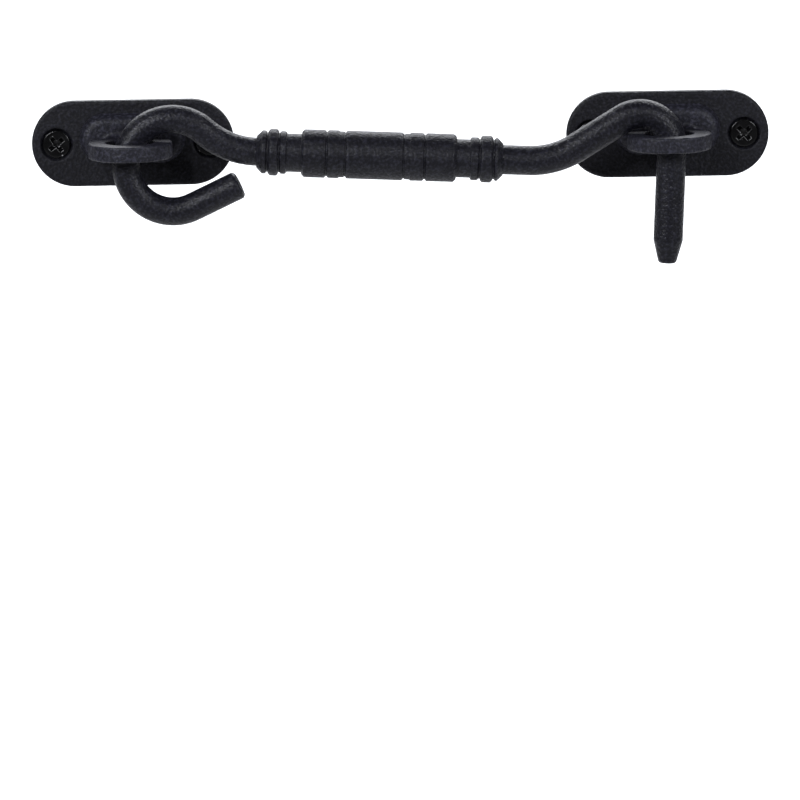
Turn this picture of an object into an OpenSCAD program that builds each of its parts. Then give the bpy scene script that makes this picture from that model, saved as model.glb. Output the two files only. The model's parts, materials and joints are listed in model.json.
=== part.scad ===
// Cabin hook: a bent rod with a turned sleeve that joins two eye plates.
// The rod's loop is captive in the pivot eye and its pin drops into the
// staple eye.  Millimetres, +Z up, latched.  The wall is the plane y = 0, the
// plates stand in front of it (towards -Y) and the screws run into it (+Y).
// The origin is the centre of the pivot plate's back.

/* [Plates] */
// Length of each plate, over its two round ends
plate_length = 53; // [51:0.5:58]
// Height of each plate
plate_height = 22.5; // [22:0.5:25]
// Thickness of each plate
plate_thickness = 3; // [2.6:0.1:3.5]
// Chamfer round the front edge of a plate
plate_chamfer = 0.5; // [0.2:0.1:0.8]
// Distance between the centres of the two plates
plate_spacing = 140; // [139.5:0.1:140.5]

/* [Screws] */
// Distance between the two screws of a plate
screw_spacing = 40; // [39:0.5:41]
// Diameter of the unthreaded shank behind the plate
shank_diameter = 4.2; // [3.8:0.1:4.5]
// Diameter of the countersunk head
head_diameter = 8.2; // [7.8:0.1:8.4]
// Overall length of a screw, head included
screw_length = 19; // [16:1:25]
// Distance from crest to crest of the thread
thread_pitch = 1.6; // [1.4:0.1:1.8]

/* [Eyes] */
// Outer diameter of the ring of an eye
ring_diameter = 22; // [21:0.5:23]
// Diameter of the hole in the ring
ring_hole = 12.6; // [12.4:0.1:13.2]
// Height of the ring, along its hole
ring_height = 4.1; // [3.8:0.1:4.2]
// Distance from the front of the plate to the centre of the ring
ring_reach = 12.5; // [12.2:0.1:13.5]
// Length of the foot that joins the ring to the plate
foot_length = 27; // [23:0.5:29]
// Height of the foot, across the plate
foot_height = 12.5; // [10:0.5:16]
// How far the middle of the foot is above the middle of the ring
foot_lift = 1.4; // [0:0.1:1.6]
// How far the foot stands in front of the plate
foot_thickness = 2.8; // [2.2:0.1:3.4]
// Diameter of the tenon that is riveted through the plate
tenon_diameter = 8; // [6:0.5:9]

/* [Hook rod] */
// Diameter of the rod on the loop's side of the sleeve
loop_rod_diameter = 7.4; // [6.8:0.1:7.5]
// Diameter of the rod on the pin's side of the sleeve
pin_rod_diameter = 7.7; // [7.5:0.1:7.8]
// Radius of the loop, to the middle of the rod
loop_radius = 12.1; // [11.9:0.1:12.3]
// Slope of the free end of the loop, in degrees
tail_slope = 28; // [22:1:30]
// Length of the straight free end of the loop
tail_length = 13.5; // [9:0.5:14]
// Distance from the loop's centre to the axis of the pin
hook_reach = 129.4; // [129.2:0.1:129.8]
// Slope of the rod between the sleeve and the elbow, in degrees
rise_slope = 34; // [33:0.5:35]
// Radius of the bend from the sleeve's line into that slope
rise_radius = 22; // [20:1:24]
// Radius of the elbow over the staple eye
elbow_radius = 8.3; // [8.1:0.1:8.6]
// Height of the elbow above the sleeve's axis, both to the middle of the rod
elbow_rise = 13.15; // [13.1:0.01:13.3]
// Length of the straight pin below the elbow, tip included
pin_length = 30.5; // [26:0.5:32]
// Length of the tapered tip of the pin
tip_length = 6; // [4:0.5:8]
// Diameter of the flat end of the tip
tip_diameter = 4.5; // [3.5:0.1:5.5]
// How far the hook slopes down to the staple eye when latched, in degrees
rest_slope = 2.85; // [2.8:0.01:2.9]

/* [Sleeve] */
// Distance from the loop's centre to the near end of the sleeve
sleeve_start = 21.7; // [21.5:0.1:22.5]
// Height of the sleeve's axis above the loop's centre
sleeve_rise = 4.3; // [4.2:0.1:4.6]
// Largest diameter of the sleeve
band_diameter = 12.5; // [12:0.1:12.7]
// Diameter of the two necks
neck_diameter = 10; // [9.6:0.1:10.4]
// Length of the plain middle band
middle_band = 14.9; // [13:0.1:16]
// Length of the wide band on the loop's side
near_band = 6.3; // [6:0.1:7]
// Length of the wide band on the pin's side
far_band = 8; // [7:0.1:8.4]

/* [Hidden] */
$fn = 64;

coat = "#2b2c2f";
screw_black = "#121316";

// Clearance between two pieces that are seated in one another
seat_gap = 0.02;
// How far a cut runs past the face it opens
overrun = 1;

// Plate
shank_clearance = 0.25;
head_clearance = 0.15;
screw_hole_radius = shank_diameter / 2 + shank_clearance;
countersink_radius = head_diameter / 2 + head_clearance;

// Screw, with heights measured from the wall towards the front
head_sink = 0.1;
head_top = plate_thickness - head_sink;
head_radius = head_diameter / 2;
shank_radius = shank_diameter / 2;
// The shank narrows in the plate's hole and is full size from the wall on
neck_radius = shank_radius - 0.25;
head_cone = head_radius - neck_radius;
plain_shank = 4;
thread_depth = 0.5;
core_radius = shank_radius - thread_depth;
point_length = 3.2;
point_radius = 0.3;
core_length = screw_length - head_top - plain_shank - point_length;
thread_turns = floor(core_length / thread_pitch);
// Share of the pitch over which a ridge of the thread rises to its crest
crest = 0.7;
// The cross recess: its slots' width and reach, and its taper from floor to mouth
recess_slot = 1.15;
recess_reach = 2.4;
recess_depth = 1.7;
recess_floor = 0.8;
recess_mouth = 2.37;
// Turn of each screw's cross recess
pivot_outer_turn = 38;
pivot_inner_turn = 20;
staple_inner_turn = 60;
staple_outer_turn = 42;

// Eye
ring_radius = ring_diameter / 2;
ring_hole_radius = ring_hole / 2;
ring_chamfer = 0.4;
ring_axis = plate_thickness + ring_reach;
foot_chamfer = 1.5;
tenon_radius = tenon_diameter / 2;
rivet_flare = 0.8;

// Hook rod, drawn in its own plane: [along the sleeve, upwards] from the loop's centre
loop_rod_radius = loop_rod_diameter / 2;
pin_rod_radius = pin_rod_diameter / 2;
tip_radius = tip_diameter / 2;
end_chamfer = 0.6;
// A bend is drawn this much thinner than the straight lengths that lap over its ends
bend_relief = 0.05;
lap = 0.4;

// The loop's centre, in front of the wall and beside the pivot eye's axis
loop_side = 10.95;
loop_drop = 4.25;

// The free end leaves the circle of the loop at this angle
tail_angle = tail_slope - 90;
tail_root = loop_radius * [cos(tail_angle), sin(tail_angle)];

// The neck of the hook curves back from the loop into the sleeve's line
neck_bend_radius = (pow(sleeve_start, 2) + pow(sleeve_rise, 2) - pow(loop_radius, 2))
                   / (2 * (loop_radius - sleeve_rise));
neck_bend_centre = [sleeve_start, sleeve_rise + neck_bend_radius];
neck_angle = atan2(neck_bend_centre[1], neck_bend_centre[0]);

// The sleeve's turned profile from the loop's end:
// [length, radius, chamfer at its start, chamfer at its end]
band_radius = band_diameter / 2;
neck_ring_radius = neck_diameter / 2;
edge = 0.3;
groove_length = 0.4;
groove_radius = band_radius - 0.5;
step_radius = band_radius - 0.25;
collar_radius = band_radius - 0.15;
collar_groove_radius = band_radius - 1.1;
shoulder_radius = band_radius - 0.65;
end_ring_radius = band_radius - 0.6;
turned = [
    [2.6, end_ring_radius, 1.5, edge],
    [groove_length, collar_groove_radius, 0, 0],
    [2.7, collar_radius, 0.6, 0.5],
    [groove_length, collar_groove_radius, 0, 0],
    [1.7, shoulder_radius, edge, edge],
    [3.9, neck_ring_radius, 0, 0],
    [near_band, band_radius, 0.7, edge],
    [groove_length, groove_radius, 0, 0],
    [3, band_radius, edge, 0],
    [1.4, step_radius, 0, 0],
    [groove_length, groove_radius, 0, 0],
    [middle_band, band_radius, edge, edge],
    [groove_length, groove_radius, 0, 0],
    [1.4, step_radius, 0, 0],
    [3.6, band_radius, 0, edge],
    [groove_length, groove_radius, 0, 0],
    [far_band, band_radius, edge, 0.7],
    [3.6, neck_ring_radius, 0, 0],
    [2.2, shoulder_radius, edge, edge],
    [groove_length, collar_groove_radius, 0, 0],
    [3.3, collar_radius, 0.5, 0.6],
    [groove_length, collar_groove_radius, 0, 0],
    [2.2, end_ring_radius, edge, 1.5]
];
function run(list, count) = count == 0 ? 0 : list[count - 1][0] + run(list, count - 1);
sleeve_length = run(turned, len(turned));
sleeve_middle = sleeve_start + sleeve_length / 2;

// The elbow turns the slope down into the pin
elbow_centre = [hook_reach - elbow_radius, sleeve_rise + elbow_rise - elbow_radius];
rise_top = elbow_centre + elbow_radius * [-sin(rise_slope), cos(rise_slope)];
rise_gain = rise_top[1] - sleeve_rise - rise_radius * (1 - cos(rise_slope));
rise_length = rise_gain / sin(rise_slope);
rise_start = rise_top[0] - rise_length * cos(rise_slope) - rise_radius * sin(rise_slope);
rise_centre = [rise_start, sleeve_rise + rise_radius];

// Stands a shape that is drawn lying on the ground, front side up, against the wall
module on_wall(offset = 0) {
    translate([offset, 0, 0])
        rotate([90, 0, 0])
            children();
}

// Moves the hook from its own plane to its latched place
module latched() {
    translate([loop_side, -ring_axis, -loop_drop])
        rotate([0, rest_slope, 0])
            rotate([90, 0, 0])
                children();
}

// Places a shape that stands on +Z at a point of the hook's plane, to run at an angle
module along(from, angle) {
    translate([from[0], from[1], 0])
        rotate([0, 0, angle])
            rotate([0, 90, 0])
                children();
}

// A straight length of rod that laps over the bends at its two ends
module bar(from, angle, length, radius) {
    along(from, angle)
        translate([0, 0, -lap])
            cylinder(h = length + 2 * lap, r = radius);
}

// A bend of the rod about a centre, from one angle through a sweep
module bend(centre, bend_radius, from, sweep, radius) {
    translate([centre[0], centre[1], 0])
        rotate([0, 0, from])
            rotate_extrude(angle = sweep)
                translate([bend_radius, 0])
                    circle(r = radius - bend_relief);
}

// A slab with round ends and a chamfer round its front edge
module slab(length, height, thickness, chamfer) {
    radius = height / 2;
    middle = length - height;
    for (side = [0, 180])
        rotate([0, 0, side])
            translate([middle / 2, 0, 0])
                rotate([0, 0, -90])
                    rotate_extrude(angle = 180)
                        polygon([
                            [0, 0],
                            [radius, 0],
                            [radius, thickness - chamfer],
                            [radius - chamfer, thickness],
                            [0, thickness]
                        ]);
    translate([-middle / 2, 0, 0])
        rotate([90, 0, 90])
            linear_extrude(height = middle)
                polygon([
                    [-radius, 0],
                    [radius, 0],
                    [radius, thickness - chamfer],
                    [radius - chamfer, thickness],
                    [chamfer - radius, thickness],
                    [-radius, thickness - chamfer]
                ]);
}

// The hole for one screw, with its countersink
module screw_hole() {
    sink = countersink_radius - screw_hole_radius;
    translate([0, 0, -overrun])
        cylinder(h = plate_thickness + 2 * overrun, r = screw_hole_radius);
    translate([0, 0, plate_thickness - sink])
        cylinder(h = sink + overrun, r1 = screw_hole_radius, r2 = countersink_radius + overrun);
}

// The hole for an eye's tenon, countersunk at the plate's back
module tenon_hole() {
    hole_radius = tenon_radius + seat_gap;
    sink = rivet_flare + overrun;
    translate([0, 0, -overrun]) {
        cylinder(h = plate_thickness + 2 * overrun, r = hole_radius);
        cylinder(h = sink, r1 = hole_radius + sink, r2 = hole_radius);
    }
}

module backing_plate() {
    color(coat)
        difference() {
            slab(plate_length, plate_height, plate_thickness, plate_chamfer);
            for (side = [-1, 1])
                translate([side * screw_spacing / 2, 0, 0])
                    screw_hole();
            tenon_hole();
        }
}

module ring() {
    rotate_extrude()
        translate([ring_hole_radius, -ring_height / 2])
            polygon([
                [ring_chamfer, 0],
                [ring_radius - ring_hole_radius - ring_chamfer, 0],
                [ring_radius - ring_hole_radius, ring_chamfer],
                [ring_radius - ring_hole_radius, ring_height - ring_chamfer],
                [ring_radius - ring_hole_radius - ring_chamfer, ring_height],
                [ring_chamfer, ring_height],
                [0, ring_height - ring_chamfer],
                [0, ring_chamfer]
            ]);
}

module eye() {
    color(coat) {
        // The tenon, peened out into the plate's countersink
        cylinder(h = plate_thickness, r = tenon_radius);
        cylinder(h = rivet_flare, r1 = tenon_radius + rivet_flare, r2 = tenon_radius);
        translate([0, foot_lift, plate_thickness])
            slab(foot_length, foot_height, foot_thickness, foot_chamfer);
        translate([0, 0, ring_axis])
            rotate([90, 0, 0])
                ring();
    }
}

// The cross in a screw head: two crossed slots that narrow towards the floor
module recess() {
    widening = (recess_mouth - recess_floor) / recess_depth;
    height = recess_depth + overrun;
    translate([0, 0, head_top - recess_depth])
        intersection() {
            cylinder(h = height, r1 = recess_floor, r2 = recess_floor + widening * height);
            for (turn = [0, 90])
                rotate([0, 0, turn])
                    translate([-recess_reach, -recess_slot / 2, 0])
                        cube([2 * recess_reach, recess_slot, height]);
        }
}

// One turn of thread as a ridge round the core
module thread_ridge() {
    rise = crest * thread_pitch;
    cylinder(h = rise, r1 = core_radius, r2 = shank_radius);
    translate([0, 0, rise])
        cylinder(h = thread_pitch - rise, r1 = shank_radius, r2 = core_radius);
}

// A countersunk wood screw: heights in front of the wall are positive
module screw(turn) {
    thread_start = -plain_shank;
    color(screw_black)
        difference() {
            union() {
                translate([0, 0, head_top - head_cone])
                    cylinder(h = head_cone, r1 = neck_radius, r2 = head_radius);
                cylinder(h = head_top - head_cone, r = neck_radius);
                translate([0, 0, thread_start])
                    cylinder(h = plain_shank, r = shank_radius);
                translate([0, 0, thread_start - core_length])
                    cylinder(h = core_length, r = core_radius);
                for (ridge = [1:thread_turns])
                    translate([0, 0, thread_start - ridge * thread_pitch])
                        thread_ridge();
                translate([0, 0, thread_start - core_length - point_length])
                    cylinder(h = point_length, r1 = point_radius, r2 = core_radius);
            }
            rotate([0, 0, turn])
                recess();
        }
}

// The sleeve's outline, with its bore stepped where the rod's diameter changes
module sleeve_profile() {
    upper = [
        for (i = [0:len(turned) - 1])
            let (s = run(turned, i), band = turned[i], e = s + band[0])
                each [
                    [band[1] - band[2], s],
                    [band[1], s + band[2]],
                    [band[1], e - band[3]],
                    [band[1] - band[3], e]
                ]
    ];
    near_bore = loop_rod_radius + seat_gap;
    far_bore = pin_rod_radius + seat_gap;
    bore = [
        [far_bore, sleeve_length],
        [far_bore, sleeve_length / 2],
        [near_bore, sleeve_length / 2],
        [near_bore, 0]
    ];
    polygon(concat(upper, bore));
}

module pivot_plate() {
    on_wall()
        backing_plate();
}

module staple_plate() {
    on_wall(plate_spacing)
        backing_plate();
}

module pivot_eye() {
    on_wall()
        eye();
}

module staple_eye() {
    on_wall(plate_spacing)
        eye();
}

module pivot_screw_outer() {
    on_wall(-screw_spacing / 2)
        screw(pivot_outer_turn);
}

module pivot_screw_inner() {
    on_wall(screw_spacing / 2)
        screw(pivot_inner_turn);
}

module staple_screw_inner() {
    on_wall(plate_spacing - screw_spacing / 2)
        screw(staple_inner_turn);
}

module staple_screw_outer() {
    on_wall(plate_spacing + screw_spacing / 2)
        screw(staple_outer_turn);
}

module hook_rod() {
    loop_sweep = 360 + tail_angle - neck_angle;
    neck_root = loop_radius * [cos(neck_angle), sin(neck_angle)];
    color(coat)
        latched() {
            // The free end and the loop
            along(tail_root, tail_slope) {
                translate([0, 0, -lap])
                    cylinder(h = tail_length + lap - end_chamfer, r = loop_rod_radius);
                translate([0, 0, tail_length - end_chamfer])
                    cylinder(h = end_chamfer, r1 = loop_rod_radius, r2 = loop_rod_radius - end_chamfer);
            }
            bend([0, 0], loop_radius, neck_angle, loop_sweep, loop_rod_radius);
            // The neck, and the straight rod through the sleeve
            bar(neck_root, neck_angle - 90, 0, loop_rod_radius);
            bend(neck_bend_centre, neck_bend_radius, 180 + neck_angle, 90 - neck_angle, loop_rod_radius);
            bar([sleeve_start, sleeve_rise], 0, sleeve_length / 2, loop_rod_radius);
            bar([sleeve_middle + lap, sleeve_rise], 0, rise_start - sleeve_middle - lap, pin_rod_radius);
            // Up to the elbow
            bend(rise_centre, rise_radius, 270, rise_slope, pin_rod_radius);
            bar(rise_top, 180 + rise_slope, rise_length, pin_rod_radius);
            bend(elbow_centre, elbow_radius, 0, 90 + rise_slope, pin_rod_radius);
            // The pin and its tapered tip
            along([hook_reach, elbow_centre[1]], -90) {
                translate([0, 0, -lap])
                    cylinder(h = pin_length + lap - tip_length, r = pin_rod_radius);
                translate([0, 0, pin_length - tip_length])
                    cylinder(h = tip_length, r1 = pin_rod_radius, r2 = tip_radius);
            }
        }
}

module hook_sleeve() {
    color(coat)
        latched()
            translate([sleeve_start, sleeve_rise, 0])
                rotate([0, 0, -90])
                    rotate([-90, 0, 0])
                        rotate_extrude()
                            sleeve_profile();
}

pivot_plate();
pivot_eye();
pivot_screw_outer();
pivot_screw_inner();
staple_plate();
staple_eye();
staple_screw_inner();
staple_screw_outer();
hook_rod();
hook_sleeve();
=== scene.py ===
import json
import math

import bmesh
import bpy
import numpy as np
from mathutils import Euler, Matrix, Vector


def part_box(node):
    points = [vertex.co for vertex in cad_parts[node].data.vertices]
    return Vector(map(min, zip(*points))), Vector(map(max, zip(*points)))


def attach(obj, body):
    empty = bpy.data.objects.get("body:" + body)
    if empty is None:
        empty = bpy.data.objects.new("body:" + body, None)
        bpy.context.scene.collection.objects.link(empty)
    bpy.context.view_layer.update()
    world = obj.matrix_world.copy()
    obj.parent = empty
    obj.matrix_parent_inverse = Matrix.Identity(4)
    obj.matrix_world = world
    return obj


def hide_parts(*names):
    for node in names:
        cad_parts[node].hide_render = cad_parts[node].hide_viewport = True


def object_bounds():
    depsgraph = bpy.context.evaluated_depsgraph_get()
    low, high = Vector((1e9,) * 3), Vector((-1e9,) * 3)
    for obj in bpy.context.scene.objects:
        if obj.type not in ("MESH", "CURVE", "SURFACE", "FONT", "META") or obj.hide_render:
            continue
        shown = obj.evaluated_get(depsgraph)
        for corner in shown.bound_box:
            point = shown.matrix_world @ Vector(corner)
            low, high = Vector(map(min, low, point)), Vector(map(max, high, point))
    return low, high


# A cabin hook in sand-textured black powder coat, latched.  Shapes are worked out in
# millimetres in the frame's axes (+X along the wall, +Y into it, +Z up) and made in metres.
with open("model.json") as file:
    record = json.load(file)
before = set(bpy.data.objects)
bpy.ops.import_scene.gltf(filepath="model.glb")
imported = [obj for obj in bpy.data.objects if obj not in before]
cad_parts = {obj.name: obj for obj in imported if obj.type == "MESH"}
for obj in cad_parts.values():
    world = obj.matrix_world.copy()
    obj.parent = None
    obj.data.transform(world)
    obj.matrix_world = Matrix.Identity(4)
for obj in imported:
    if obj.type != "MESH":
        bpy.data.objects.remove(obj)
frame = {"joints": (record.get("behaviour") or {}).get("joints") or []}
cad_low, cad_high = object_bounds()
MM = 0.001

# ---------------------------------------------------------------- sizes shared with the frame

hinge = next(joint for joint in frame["joints"] if joint["name"] == "lift")
LOOP_CENTRE = np.array(hinge["pos_m"]) / MM
REST_SLOPE = math.radians(2.85)


def node_box(node):
    """Lowest and highest corner of a CAD node, in millimetres"""
    low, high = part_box(node)
    return np.array(low) / MM, np.array(high) / MM


plate_low, plate_high = node_box("pivot_plate")
PLATE_LENGTH, PLATE_THICKNESS, PLATE_HEIGHT = plate_high - plate_low
PLATE_CENTRES = {
    "pivot": sum(node_box("pivot_plate"))[0] / 2,
    "staple": sum(node_box("staple_plate"))[0] / 2,
}
SCREW_NODES = ["pivot_screw_outer", "pivot_screw_inner", "staple_screw_inner", "staple_screw_outer"]
SCREW_PLACES = {node: sum(node_box(node))[0] / 2 for node in SCREW_NODES}
SCREW_SPACING = SCREW_PLACES["pivot_screw_inner"] - SCREW_PLACES["pivot_screw_outer"]

# Plates and their holes
PLATE_FRONT_ROUND = 0.7
PLATE_BACK_ROUND = 0.3
SCREW_HOLE_RADIUS = 2.35
COUNTERSINK_RADIUS = 4.25
COUNTERSINK_STEP = 0.6
HOLE_ROUND = 0.25
TENON_RADIUS = 4.0
RIVET_FLARE = 0.8
RIVET_GAP = 0.12

# Eyes
RING_RADIUS = 11.0
RING_HOLE_RADIUS = 6.3
RING_HEIGHT = 4.1
RING_ROUND = 0.55
RING_AXIS = -LOOP_CENTRE[1]
FOOT_LENGTH = 27.0
FOOT_HEIGHT = 12.5
FOOT_LIFT = 1.4
FOOT_THICKNESS = 2.8
FOOT_ROUND = 2.4
FOOT_SKIRT = 0.9
FOOT_BLEND = 1.6
BURIED = 0.05

# Screws
HEAD_TOP = 2.8
HEAD_RADIUS = 4.1
FACE_RADIUS = 3.6
FACE_STEP = 0.6
NECK_RADIUS = 1.85
SHANK_RADIUS = 2.1
CORE_RADIUS = 1.55
PLAIN_SHANK = 4.0
THREAD_PITCH = 1.6
POINT_LENGTH = 3.2
SCREW_LENGTH = 19.0
RECESS_DEPTH = 1.7
RECESS_TURNS = dict(zip(SCREW_NODES, (38, 20, 60, 42)))

# Hook rod, in its own plane: [along the sleeve, upwards] from the loop's centre
LOOP_ROD_RADIUS = 3.7
PIN_ROD_RADIUS = 3.85
LOOP_RADIUS = 12.1
TAIL_SLOPE = math.radians(28)
TAIL_LENGTH = 13.5
SLEEVE_START = 21.7
SLEEVE_RISE = 4.3
HOOK_REACH = 129.4
RISE_SLOPE = math.radians(34)
RISE_RADIUS = 22.0
ELBOW_RADIUS = 8.3
ELBOW_RISE = 13.15
PIN_LENGTH = 30.5
TIP_LENGTH = 6.0
TIP_RADIUS = 2.25
TAIL_ROUND = 0.6

# The sleeve's turned profile from the loop's end:
# (length, radius, chamfer at its start, chamfer at its end)
BAND = 6.25
NECK = 5.0
TURNED = [
    (2.6, BAND - 0.6, 1.5, 0.3),
    (0.4, BAND - 1.1, 0, 0),
    (2.7, BAND - 0.15, 0.6, 0.5),
    (0.4, BAND - 1.1, 0, 0),
    (1.7, BAND - 0.65, 0.3, 0.3),
    (3.9, NECK, 0, 0),
    (6.3, BAND, 0.7, 0.3),
    (0.4, BAND - 0.5, 0, 0),
    (3.0, BAND, 0.3, 0),
    (1.4, BAND - 0.25, 0, 0),
    (0.4, BAND - 0.5, 0, 0),
    (14.9, BAND, 0.3, 0.3),
    (0.4, BAND - 0.5, 0, 0),
    (1.4, BAND - 0.25, 0, 0),
    (3.6, BAND, 0, 0.3),
    (0.4, BAND - 0.5, 0, 0),
    (8.0, BAND, 0.3, 0.7),
    (3.6, NECK, 0, 0),
    (2.2, BAND - 0.65, 0.3, 0.3),
    (0.4, BAND - 1.1, 0, 0),
    (3.3, BAND - 0.15, 0.5, 0.6),
    (0.4, BAND - 1.1, 0, 0),
    (2.2, BAND - 0.6, 0.3, 1.5),
]

# Thread of a screw, and its cross recess
THREAD_TOOTH = 1.35
THREAD_SHARPNESS = 4.2
THREAD_RISE = 1.2
THREAD_RUN_OUT = 1.5
SHANK_RUN_OUT = 0.8
POINT_RADIUS = 0.15
RECESS_REACH = 0.8
RECESS_REACH_GAIN = 1.55
RECESS_HALF_SLOT = 0.42
RECESS_SLOT_GAIN = 0.16
RECESS_FLOOR_SLOPE = 0.25
RECESS_CORNER = 0.2

# Detail of the meshes
CAST_STEP = 0.27
SCREW_STEP = 0.15
STATION = 0.1
LONGEST_ROW = 0.5
SHARPEST_TURN = math.radians(5)
SIDES = 88
GRAIN_HEIGHT = 0.012
GRAIN_WAVELENGTH = 1.3
GRAIN_WAVES = 40
SLEEVE_SOFTNESS = 0.12
ROD_SOFTNESS = 0.2
SEAT_GAP = 0.02

# Floor, in metres
FLOOR_SIZE = 16.0
FLOOR_DROP = 0.65

# ---------------------------------------------------------------- fields and their surfaces


def round_and(a, b, radius):
    """Where two solids overlap, with a round edge"""
    outside = np.hypot(np.maximum(radius + a, 0), np.maximum(radius + b, 0))
    return outside + np.minimum(-radius, np.maximum(a, b))


def round_or(a, b, radius):
    """Two solids joined with a fillet"""
    return -round_and(-a, -b, radius)


def gradient(field, points, reach):
    """Slope of a field at each point"""
    slopes = []
    for axis in np.eye(3):
        ahead = field(*(points + reach * axis).T)
        behind = field(*(points - reach * axis).T)
        slopes.append((ahead - behind) / (2 * reach))
    return np.stack(slopes, axis=1)


def surface_of(field, low, high, step):
    """Closed mesh of quads on the surface where the field is zero: points and faces"""
    start = np.array(low) - 1.5 * step
    counts = np.ceil((np.array(high) - start) / step).astype(int) + 3
    axes = [start[a] + step * np.arange(counts[a]) for a in range(3)]
    value = field(*np.meshgrid(*axes, indexing="ij"))
    cells = counts - 1
    total = np.zeros((3, cells.prod()))
    hits = np.zeros(cells.prod())
    rings = []
    for a in range(3):
        b, c = (a + 1) % 3, (a + 2) % 3
        near = np.take(value, range(counts[a] - 1), axis=a)
        far = np.take(value, range(1, counts[a]), axis=a)
        edge = np.argwhere((near < 0) != (far < 0))
        inside_near = near[tuple(edge.T)]
        crossing = edge.astype(float)
        crossing[:, a] += inside_near / (inside_near - far[tuple(edge.T)])
        around = []
        for back_b, back_c in ((1, 1), (0, 1), (0, 0), (1, 0)):
            cell = edge.copy()
            cell[:, b] -= back_b
            cell[:, c] -= back_c
            flat = np.ravel_multi_index(cell.T, cells)
            around.append(flat)
            hits += np.bincount(flat, minlength=len(hits))
            for k in range(3):
                total[k] += np.bincount(flat, weights=crossing[:, k], minlength=len(hits))
        ring = np.stack(around, axis=1)
        ring[inside_near >= 0] = ring[inside_near >= 0][:, ::-1]
        rings.append(ring)
    used = np.flatnonzero(hits)
    order = np.full(len(hits), -1)
    order[used] = np.arange(len(used))
    points = start + step * (total[:, used] / hits[used]).T
    for _ in range(4):
        slope = gradient(field, points, 0.05 * step)
        reach = field(*points.T) / np.maximum((slope ** 2).sum(axis=1), 0.05)
        points -= slope * np.clip(reach, -0.4 * step, 0.4 * step)[:, None]
    return points, order[np.concatenate(rings)]


# ---------------------------------------------------------------- meshes


def waves(points, wavelength, seed):
    """Smooth random heights, most of them between -1 and 1"""
    rng = np.random.RandomState(seed)
    height = np.zeros(len(points))
    for _ in range(GRAIN_WAVES):
        direction = rng.normal(size=3)
        direction *= 2 * math.pi / (np.linalg.norm(direction) * wavelength * rng.uniform(0.7, 1.5))
        height += np.sin(points @ direction + rng.uniform(0, 2 * math.pi))
    return height / math.sqrt(GRAIN_WAVES)


def normals_of(points, faces):
    """Outward direction at each point, from the faces round it"""
    quads = points[faces]
    face = np.cross(quads[:, 2] - quads[:, 0], quads[:, 3] - quads[:, 1])
    normal = np.zeros_like(points)
    for corner in range(4):
        for k in range(3):
            normal[:, k] += np.bincount(faces[:, corner], weights=face[:, k], minlength=len(points))
    return normal / np.maximum(np.linalg.norm(normal, axis=1), 1e-12)[:, None]


def weld(mesh):
    """Joins the points of a mesh that lie on one another, such as those of a rod's flat end"""
    work = bmesh.new()
    work.from_mesh(mesh)
    bmesh.ops.remove_doubles(work, verts=work.verts, dist=0.0005 * MM)
    bmesh.ops.recalc_face_normals(work, faces=work.faces)
    work.to_mesh(mesh)
    work.free()


def piece(name, points, faces, material, grain=GRAIN_HEIGHT, seed=1):
    """A smooth-shaded object from points in millimetres and faces of four corners.
    The grain only takes material away, so the piece stays inside its CAD solid."""
    faces = np.asarray(faces)
    if grain:
        height = np.clip(waves(points, GRAIN_WAVELENGTH, seed), -1, 1) - 1
        points = points + normals_of(points, faces) * (grain * height)[:, None]
    mesh = bpy.data.meshes.new(name)
    mesh.from_pydata((points * MM).tolist(), [], faces.tolist())
    weld(mesh)
    mesh.shade_smooth()
    mesh.materials.append(material)
    made = bpy.data.objects.new(name, mesh)
    bpy.context.scene.collection.objects.link(made)
    return made


def stand(points, along=0):
    """From a plate's own axes (along, up, out of the wall) to the frame's"""
    return np.stack([points[:, 0] + along, -points[:, 2], points[:, 1]], axis=1)


def soften(outline, reach):
    """Points every STATION along an outline, its corners rounded as a coat of paint does"""
    outline = np.array(outline, float)
    lengths = np.concatenate([[0], np.cumsum(np.linalg.norm(np.diff(outline, axis=0), axis=1))])
    count = int(lengths[-1] / STATION)
    places = np.linspace(0, lengths[-1], count + 1)
    dense = np.stack([np.interp(places, lengths, outline[:, k]) for k in range(2)], axis=1)
    width = int(3 * reach / STATION) + 1
    weights = np.exp(-0.5 * (np.arange(-width, width + 1) * STATION / reach) ** 2)
    weights /= weights.sum()
    before = 2 * dense[0] - dense[width:0:-1]
    beyond = 2 * dense[-1] - dense[-2:-width - 2:-1]
    padded = np.concatenate([before, dense, beyond])
    return np.stack([np.convolve(padded[:, k], weights, "valid") for k in range(2)], axis=1)


def thin(outline):
    """The points of a dense outline that its shape needs"""
    kept = [0]
    steps = np.diff(outline, axis=0)
    headings = np.unwrap(np.arctan2(steps[:, 1], steps[:, 0]))
    for i in range(1, len(outline) - 1):
        turn = abs(headings[i] - headings[kept[-1]])
        if turn > SHARPEST_TURN or np.linalg.norm(outline[i] - outline[kept[-1]]) > LONGEST_ROW:
            kept.append(i)
    return outline[kept + [len(outline) - 1]]


def sweep(profile, path, closed=False):
    """Turns a profile of [distance along the path, radius] round a path in the hook's plane"""
    places, line, heading = path
    centre = np.stack([np.interp(profile[:, 0], places, line[:, k]) for k in range(2)], axis=1)
    angle = np.interp(profile[:, 0], places, heading)
    across = np.stack([-np.sin(angle), np.cos(angle)], axis=1)
    turn = np.arange(SIDES) * 2 * math.pi / SIDES
    radius = profile[:, 1][:, None]
    flat = centre[:, None, :] + across[:, None, :] * (radius * np.cos(turn))[:, :, None]
    out = radius * np.sin(turn)
    points = np.concatenate([flat, out[:, :, None]], axis=2).reshape(-1, 3)
    rows = len(profile)
    faces = []
    for row in range(rows if closed else rows - 1):
        here, ahead = row * SIDES, (row + 1) % rows * SIDES
        for side in range(SIDES):
            beside = (side + 1) % SIDES
            faces.append((here + side, here + beside, ahead + beside, ahead + side))
    return points, np.array(faces)


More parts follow.
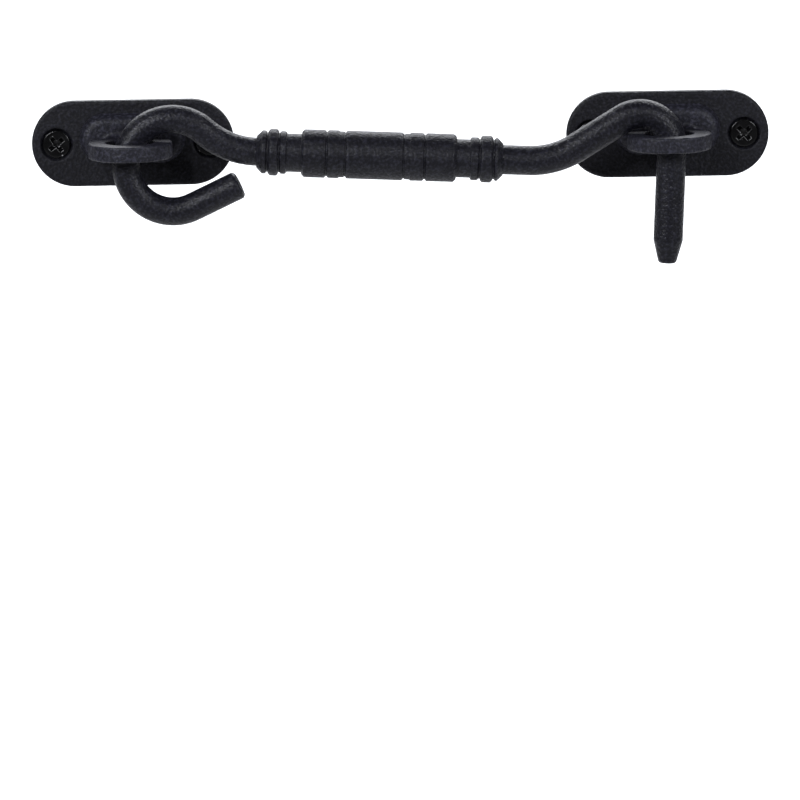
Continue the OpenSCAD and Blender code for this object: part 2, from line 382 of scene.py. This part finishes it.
def latched(points):
    """From the hook's own plane (along, up, towards the front) to its latched place"""
    cosine, sine = math.cos(REST_SLOPE), math.sin(REST_SLOPE)
    along, up, out = points.T
    turned = [along * cosine + up * sine, -out, up * cosine - along * sine]
    return LOOP_CENTRE + np.stack(turned, axis=1)


# ---------------------------------------------------------------- plates, eyes and screws


def oblong(x, y, length, height):
    """Distance from an outline with two round ends"""
    return np.hypot(np.maximum(abs(x) - (length - height) / 2, 0), y) - height / 2


def plate_field(x, y, z):
    body = oblong(x, y, PLATE_LENGTH, PLATE_HEIGHT)
    body = round_and(body, z - PLATE_THICKNESS, PLATE_FRONT_ROUND)
    body = round_and(body, -z, PLATE_BACK_ROUND)
    reach = np.hypot(abs(x) - SCREW_SPACING / 2, y)
    cone = (reach - COUNTERSINK_RADIUS + PLATE_THICKNESS - COUNTERSINK_STEP - z) * math.sqrt(0.5)
    hole = np.minimum(reach - SCREW_HOLE_RADIUS, np.maximum(cone, reach - COUNTERSINK_RADIUS))
    body = round_and(body, -hole, HOLE_ROUND)
    reach = np.hypot(x, y)
    flare = (reach - TENON_RADIUS - RIVET_GAP - RIVET_FLARE + z) * math.sqrt(0.5)
    return np.maximum(body, -np.minimum(reach - TENON_RADIUS - RIVET_GAP, flare))


def eye_field(x, y, z):
    middle = (RING_RADIUS + RING_HOLE_RADIUS) / 2
    band = abs(np.hypot(x, z - RING_AXIS) - middle) - (RING_RADIUS - RING_HOLE_RADIUS) / 2
    ring = round_and(band, abs(y) - RING_HEIGHT / 2, RING_ROUND)
    reach = np.hypot(x, y)
    height = z - PLATE_THICKNESS
    foot = oblong(x, y - FOOT_LIFT, FOOT_LENGTH, FOOT_HEIGHT)
    foot = round_and(foot, height - FOOT_THICKNESS, FOOT_ROUND)
    made = round_or(ring, foot, FOOT_BLEND)
    made = round_or(made, height + 1.6 * BURIED, FOOT_SKIRT)
    made = np.maximum(made, -height - BURIED)
    flare = (reach - TENON_RADIUS - RIVET_FLARE + z) * math.sqrt(0.5)
    tenon = np.minimum(reach - TENON_RADIUS, flare)
    tenon = round_and(np.maximum(tenon, height - 0.5), -z, 0.2)
    return np.minimum(made, tenon)


def screw_radius(turn, z):
    """Radius of a screw at a height above the wall and a turn round its axis"""
    head = np.maximum(NECK_RADIUS, HEAD_RADIUS - HEAD_TOP + z)
    depth = -z - PLAIN_SHANK
    phase = (z / THREAD_PITCH + turn / (2 * math.pi)) % 1.0
    tooth = np.clip(THREAD_TOOTH - abs(phase - 0.5) * THREAD_SHARPNESS, 0, 1)
    to_tip = SCREW_LENGTH - HEAD_TOP + z
    taper = np.clip(to_tip / POINT_LENGTH, 0, 1)
    core = POINT_RADIUS + (CORE_RADIUS - POINT_RADIUS) * taper
    height = SHANK_RADIUS - CORE_RADIUS
    crest = height * np.clip(depth / THREAD_RISE, 0, 1) * np.clip(to_tip / THREAD_RUN_OUT, 0.3, 1)
    run_in = height * np.clip(1 - depth / SHANK_RUN_OUT, 0, 1)
    thread = core + np.maximum(crest * tooth, run_in)
    return np.where(z > 0, head, np.where(depth < 0, SHANK_RADIUS, thread))


def screw_field(x, y, z):
    reach = np.hypot(x, y)
    body = (reach - screw_radius(np.arctan2(y, x), z)) * 0.75
    body = round_and(body, z - HEAD_TOP, 0.25)
    step = np.minimum(reach - FACE_RADIUS, z - HEAD_TOP + FACE_STEP)
    body = round_and(body, step, 0.35)
    body = np.maximum(body, HEAD_TOP - SCREW_LENGTH - z)
    above_floor = z - HEAD_TOP + RECESS_DEPTH
    opened = np.clip(above_floor / RECESS_DEPTH, 0, 1.2)
    long = RECESS_REACH + RECESS_REACH_GAIN * opened
    wide = RECESS_HALF_SLOT + RECESS_SLOT_GAIN * opened
    slots = round_or(
        np.maximum(abs(x) - wide, abs(y) - long),
        np.maximum(abs(y) - wide, abs(x) - long),
        RECESS_CORNER,
    )
    recess = np.maximum(slots, reach * RECESS_FLOOR_SLOPE - above_floor)
    return round_and(body, -recess, 0.12)


# ---------------------------------------------------------------- the hook


def walk(start, heading, moves):
    """Path of a bent rod: its distances, points and headings.  A move is (length, turn)."""
    points, headings = [np.array(start, float)], [heading]
    for length, turn in moves:
        origin, base = points[-1], headings[-1]
        for i in range(1, int(length / STATION) + 2):
            part = i / (int(length / STATION) + 1)
            swing = base + turn * part
            if turn:
                radius = length / turn
                across = math.sin(swing) - math.sin(base)
                shift = radius * np.array([across, math.cos(base) - math.cos(swing)])
            else:
                shift = length * part * np.array([math.cos(base), math.sin(base)])
            points.append(origin + shift)
            headings.append(swing)
    points = np.array(points)
    places = np.concatenate([[0], np.cumsum(np.linalg.norm(np.diff(points, axis=0), axis=1))])
    return places, points, np.array(headings)


def rod_path():
    """Path of the rod from its free end round the loop to the tip of the pin"""
    bend = SLEEVE_START ** 2 + SLEEVE_RISE ** 2 - LOOP_RADIUS ** 2
    bend /= 2 * (LOOP_RADIUS - SLEEVE_RISE)
    neck = math.atan2(SLEEVE_RISE + bend, SLEEVE_START)
    tail = TAIL_SLOPE - math.pi / 2
    root = LOOP_RADIUS * np.array([math.cos(tail), math.sin(tail)])
    end = root + TAIL_LENGTH * np.array([math.cos(TAIL_SLOPE), math.sin(TAIL_SLOPE)])
    round_loop = 2 * math.pi + tail - neck
    top = np.array([HOOK_REACH - ELBOW_RADIUS, SLEEVE_RISE + ELBOW_RISE - ELBOW_RADIUS])
    top += ELBOW_RADIUS * np.array([-math.sin(RISE_SLOPE), math.cos(RISE_SLOPE)])
    climb = top[1] - SLEEVE_RISE - RISE_RADIUS * (1 - math.cos(RISE_SLOPE))
    slope = climb / math.sin(RISE_SLOPE)
    climb_start = top[0] - slope * math.cos(RISE_SLOPE) - RISE_RADIUS * math.sin(RISE_SLOPE)
    straight = climb_start - SLEEVE_START
    moves = [
        (TAIL_LENGTH, 0),
        (LOOP_RADIUS * round_loop, -round_loop),
        (bend * (math.pi / 2 - neck), math.pi / 2 - neck),
        (straight, 0),
        (RISE_RADIUS * RISE_SLOPE, RISE_SLOPE),
        (slope, 0),
        (ELBOW_RADIUS * (math.pi / 2 + RISE_SLOPE), -math.pi / 2 - RISE_SLOPE),
        (PIN_LENGTH, 0),
    ]
    return walk(end, TAIL_SLOPE + math.pi, moves)


def rod_profile(total):
    """Radius along the rod, from the middle of its cut end to the middle of its tip"""
    step = total * 0.45
    return [
        (0, 0),
        (0, LOOP_ROD_RADIUS - TAIL_ROUND),
        (TAIL_ROUND, LOOP_ROD_RADIUS),
        (step, LOOP_ROD_RADIUS),
        (step + 1, PIN_ROD_RADIUS),
        (total - TIP_LENGTH, PIN_ROD_RADIUS),
        (total - 0.4, TIP_RADIUS + 0.15),
        (total, TIP_RADIUS - 0.25),
        (total, 0),
    ]


def sleeve_profile():
    outline = []
    place = 0.0
    for length, radius, first, last in TURNED:
        outline += [
            (place, radius - first),
            (place + first, radius),
            (place + length - last, radius),
            (place + length, radius - last),
        ]
        place += length
    return outline


def sleeve_mesh():
    """The turned sleeve with its stepped bore, as points and faces"""
    outside = thin(soften(sleeve_profile(), SLEEVE_SOFTNESS))
    length = outside[-1, 0]
    near, far = LOOP_ROD_RADIUS + SEAT_GAP, PIN_ROD_RADIUS + SEAT_GAP
    bore = [(length, far), (length / 2, far), (length / 2, near), (0, near)]
    loop = np.concatenate([outside, np.array(bore)])
    return sweep(loop, walk((SLEEVE_START, SLEEVE_RISE), 0, [(length, 0)]), closed=True)


def rod_mesh():
    path = rod_path()
    profile = soften(rod_profile(path[0][-1]), ROD_SOFTNESS)
    profile[:, 1] = np.maximum(profile[:, 1], 0)
    profile[[0, -1], 1] = 0
    return sweep(thin(profile), path)


# ---------------------------------------------------------------- materials


def new_material(name):
    """A material with its node tree, its shader and its coordinates in millimetres"""
    material = bpy.data.materials.new(name)
    material.use_nodes = True
    tree = material.node_tree
    shader = tree.nodes["Principled BSDF"]
    coordinates = tree.nodes.new("ShaderNodeTexCoord")
    scaled = tree.nodes.new("ShaderNodeVectorMath")
    scaled.operation = "SCALE"
    scaled.inputs["Scale"].default_value = 1 / MM
    tree.links.new(coordinates.outputs["Object"], scaled.inputs[0])
    return material, tree, shader, scaled.outputs[0]


def noise(tree, coordinates, scale, detail, roughness=0.5):
    node = tree.nodes.new("ShaderNodeTexNoise")
    node.inputs["Scale"].default_value = scale
    node.inputs["Detail"].default_value = detail
    node.inputs["Roughness"].default_value = roughness
    tree.links.new(coordinates, node.inputs["Vector"])
    return node.outputs["Fac"]


def spread(tree, value, low, high, to_low, to_high):
    """Carries a value from one range to another"""
    node = tree.nodes.new("ShaderNodeMapRange")
    ranges = {"From Min": low, "From Max": high, "To Min": to_low, "To Max": to_high}
    for socket, number in ranges.items():
        node.inputs[socket].default_value = number
    tree.links.new(value, node.inputs["Value"])
    return node.outputs["Result"]


def blended(tree, factor, first, second):
    """Mixes two colours, each a colour socket or a plain colour"""
    node = tree.nodes.new("ShaderNodeMix")
    node.data_type = "RGBA"
    tree.links.new(factor, node.inputs["Factor"])
    for socket, colour in ((node.inputs[6], first), (node.inputs[7], second)):
        if isinstance(colour, tuple):
            socket.default_value = (*colour, 1)
        else:
            tree.links.new(colour, socket)
    return node.outputs[2]


def bumped(tree, height, distance, strength, under=None):
    """A bump of a real height in millimetres"""
    node = tree.nodes.new("ShaderNodeBump")
    node.inputs["Distance"].default_value = distance * MM
    node.inputs["Strength"].default_value = strength
    tree.links.new(height, node.inputs["Height"])
    if under:
        tree.links.new(under, node.inputs["Normal"])
    return node.outputs["Normal"]


def powder_coat(name, dark, light, roughness):
    """Sand-textured powder coat: fine grit over a soft orange peel, paler on the grit's peaks, with
    a painted highlight along its convex edges
    """
    material, tree, shader, at = new_material(name)
    grit = noise(tree, at, 1.3, 2.5, 0.6)
    peel = noise(tree, at, 0.6, 2.0)
    cloud = noise(tree, at, 0.06, 2.0)
    speck = tree.nodes.new("ShaderNodeTexVoronoi")
    speck.inputs["Scale"].default_value = 1.6
    tree.links.new(at, speck.inputs["Vector"])
    body = blended(tree, spread(tree, cloud, 0.3, 0.7, 0, 1), dark, light)
    grit_and_edge_highlight = tuple(3.0 * part + 0.005 for part in light)
    body = blended(tree, spread(tree, grit, 0.46, 0.7, 0, 1.0), body, grit_and_edge_highlight)
    # Convex edges are painted paler: a painted highlight for the light caught along them.
    edge = tree.nodes.new("ShaderNodeNewGeometry").outputs["Pointiness"]
    body = blended(tree, spread(tree, edge, 0.515, 0.6, 0, 0.5), body, grit_and_edge_highlight)
    tree.links.new(body, shader.inputs["Base Color"])
    rough = spread(tree, grit, 0.3, 0.75, roughness + 0.08, roughness - 0.07)
    tree.links.new(rough, shader.inputs["Roughness"])
    normal = bumped(tree, peel, 0.08, 0.7)
    normal = bumped(tree, speck.outputs["Distance"], 0.07, 0.5, normal)
    normal = bumped(tree, grit, 0.26, 1.0, normal)
    tree.links.new(normal, shader.inputs["Normal"])
    shader.inputs["Specular IOR Level"].default_value = 0.3
    return material


def screw_enamel():
    """Glossy black enamel on steel, with glints painted as a pale tone along its edges"""
    material, tree, shader, at = new_material("screw_enamel")
    fine = noise(tree, at, 4.0, 3.0)
    smear = noise(tree, at, 0.5, 2.0)
    smeared = spread(tree, smear, 0.35, 0.65, 0, 1)
    body = blended(tree, smeared, (0.0012, 0.0012, 0.0015), (0.0028, 0.0028, 0.0033))
    # The pale tone on the head's rim and the recess edges is a painted glint.
    edge = tree.nodes.new("ShaderNodeNewGeometry").outputs["Pointiness"]
    body = blended(tree, spread(tree, edge, 0.54, 0.63, 0, 1), body, (0.5, 0.5, 0.51))
    tree.links.new(body, shader.inputs["Base Color"])
    tree.links.new(spread(tree, smear, 0.3, 0.7, 0.13, 0.26), shader.inputs["Roughness"])
    tree.links.new(bumped(tree, fine, 0.01, 0.4), shader.inputs["Normal"])
    shader.inputs["Specular IOR Level"].default_value = 0.5
    return material


# One black powder coat in four tones: the eyes' paler tone is painted light, the plates' darker
# tone is painted shade, and the rod and sleeve sit between.
plate_coat = powder_coat("plate_coat", (0.0026, 0.0026, 0.0046), (0.0046, 0.0046, 0.0074), 0.5)
eye_coat = powder_coat("eye_coat", (0.0095, 0.0095, 0.0145), (0.0145, 0.0145, 0.0215), 0.45)
rod_coat = powder_coat("rod_coat", (0.0042, 0.0042, 0.0068), (0.0075, 0.0075, 0.0115), 0.34)
sleeve_coat = powder_coat("sleeve_coat", (0.0042, 0.0042, 0.0068), (0.0068, 0.0068, 0.0105), 0.4)
screw_coat = screw_enamel()

# ---------------------------------------------------------------- pieces


def finish_piece(made, body, node):
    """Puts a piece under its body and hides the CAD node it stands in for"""
    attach(made, body)
    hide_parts(node)


half = PLATE_LENGTH / 2
plate_points, plate_faces = surface_of(
    plate_field, (-half, -PLATE_HEIGHT / 2, 0), (half, PLATE_HEIGHT / 2, PLATE_THICKNESS), CAST_STEP
)
eye_points, eye_faces = surface_of(
    eye_field,
    (-FOOT_LENGTH / 2 - FOOT_SKIRT, FOOT_LIFT - FOOT_HEIGHT / 2 - FOOT_SKIRT, 0),
    (
        FOOT_LENGTH / 2 + FOOT_SKIRT,
        FOOT_LIFT + FOOT_HEIGHT / 2 + FOOT_SKIRT,
        RING_AXIS + RING_RADIUS,
    ),
    CAST_STEP,
)
for number, (side, centre) in enumerate(PLATE_CENTRES.items()):
    points = stand(plate_points, centre)
    made = piece(side + "_backplate", points, plate_faces, plate_coat, seed=11 + number)
    finish_piece(made, "fixings", side + "_plate")
    points = stand(eye_points, centre)
    made = piece(side + "_ring", points, eye_faces, eye_coat, seed=21 + number)
    finish_piece(made, "fixings", side + "_eye")

screw_points, screw_faces = surface_of(
    screw_field,
    (-HEAD_RADIUS, -HEAD_RADIUS, HEAD_TOP - SCREW_LENGTH),
    (HEAD_RADIUS, HEAD_RADIUS, HEAD_TOP),
    SCREW_STEP,
)
for node, place in SCREW_PLACES.items():
    turn = math.radians(RECESS_TURNS[node])
    cosine, sine = math.cos(turn), math.sin(turn)
    across, up, out = screw_points.T
    turned = np.stack([across * cosine - up * sine, across * sine + up * cosine, out], axis=1)
    made = piece(node + "_black", stand(turned, place), screw_faces, screw_coat, grain=0)
    finish_piece(made, "fixings", node)

points, faces = rod_mesh()
made = piece("hook_bar", latched(points), faces, rod_coat, seed=31)
finish_piece(made, "hook", "hook_rod")
points, faces = sleeve_mesh()
made = piece("hook_barrel", latched(points), faces, sleeve_coat, seed=32)
finish_piece(made, "hook", "hook_sleeve")

# ---------------------------------------------------------------- floor, lights and camera

middle = (cad_low + cad_high) / 2

floor_material, tree, shader, at = new_material("pale_floor")
tone = spread(tree, noise(tree, at, 0.004, 2.0), 0.3, 0.7, 0, 1)
paint = blended(tree, tone, (0.86, 0.86, 0.86), (0.9, 0.9, 0.9))
tree.links.new(paint, shader.inputs["Base Color"])
shader.inputs["Roughness"].default_value = 0.9
under = (middle[0], middle[1], cad_low[2] - FLOOR_DROP)
bpy.ops.mesh.primitive_plane_add(size=FLOOR_SIZE, location=under)
floor = bpy.context.object
floor.name = "floor"
floor.data.materials.append(floor_material)


def softbox(name, place, target, size, power):
    """A rectangular area light that faces a target and isn't seen itself"""
    light = bpy.data.lights.new(name, "AREA")
    light.shape = "RECTANGLE"
    light.size, light.size_y = size
    light.energy = power
    light.color = (0.94, 0.955, 1.0)
    made = bpy.data.objects.new(name, light)
    made.location = place
    made.visible_camera = False
    made.rotation_euler = (Vector(target) - Vector(place)).to_track_quat("-Z", "Y").to_euler()
    bpy.context.scene.collection.objects.link(made)


# The wide panel whitens the floor behind and draws the bright rim along the rods' tops.
# The two keys and the small glint stand in front, near the camera's height.
behind = middle + Vector((0, 5.1, 0))
softbox("back_ceiling", behind + Vector((0, 0, 2.6)), behind, (6.0, 5.8), 470)
softbox("left_key", middle + Vector((-0.5, -0.5, 0.34)), middle, (0.3, 0.22), 3.0)
softbox("right_key", middle + Vector((0.5, -0.5, 0.3)), middle, (0.3, 0.22), 2.4)
softbox("glint", middle + Vector((-0.3, -0.75, 0.4)), middle, (0.05, 0.05), 1.2)

world = bpy.data.worlds.new("studio")
world.use_nodes = True
world.node_tree.nodes["Background"].inputs["Color"].default_value = (1, 1, 1, 1)
world.node_tree.nodes["Background"].inputs["Strength"].default_value = 0.06
bpy.context.scene.world = world
bpy.context.scene.view_settings.view_transform = "Standard"

camera = bpy.data.cameras.new("camera")
camera.lens = 259.5
camera.sensor_width = 36
viewer = bpy.data.objects.new("camera", camera)
AIM = Vector((0.0689, -0.0155, -0.0672))
DISTANCE = 1.509
AZIMUTH, ELEVATION, ROLL = math.radians(0.651), math.radians(10.314), math.radians(-1.047)
back = Vector((
    math.sin(AZIMUTH) * math.cos(ELEVATION),
    -math.cos(AZIMUTH) * math.cos(ELEVATION),
    math.sin(ELEVATION),
))
viewer.location = AIM + DISTANCE * back
level = (-back).to_track_quat("-Z", "Y")
viewer.rotation_euler = (level @ Euler((0, 0, ROLL)).to_quaternion()).to_euler()
bpy.context.scene.collection.objects.link(viewer)
bpy.context.scene.camera = viewer
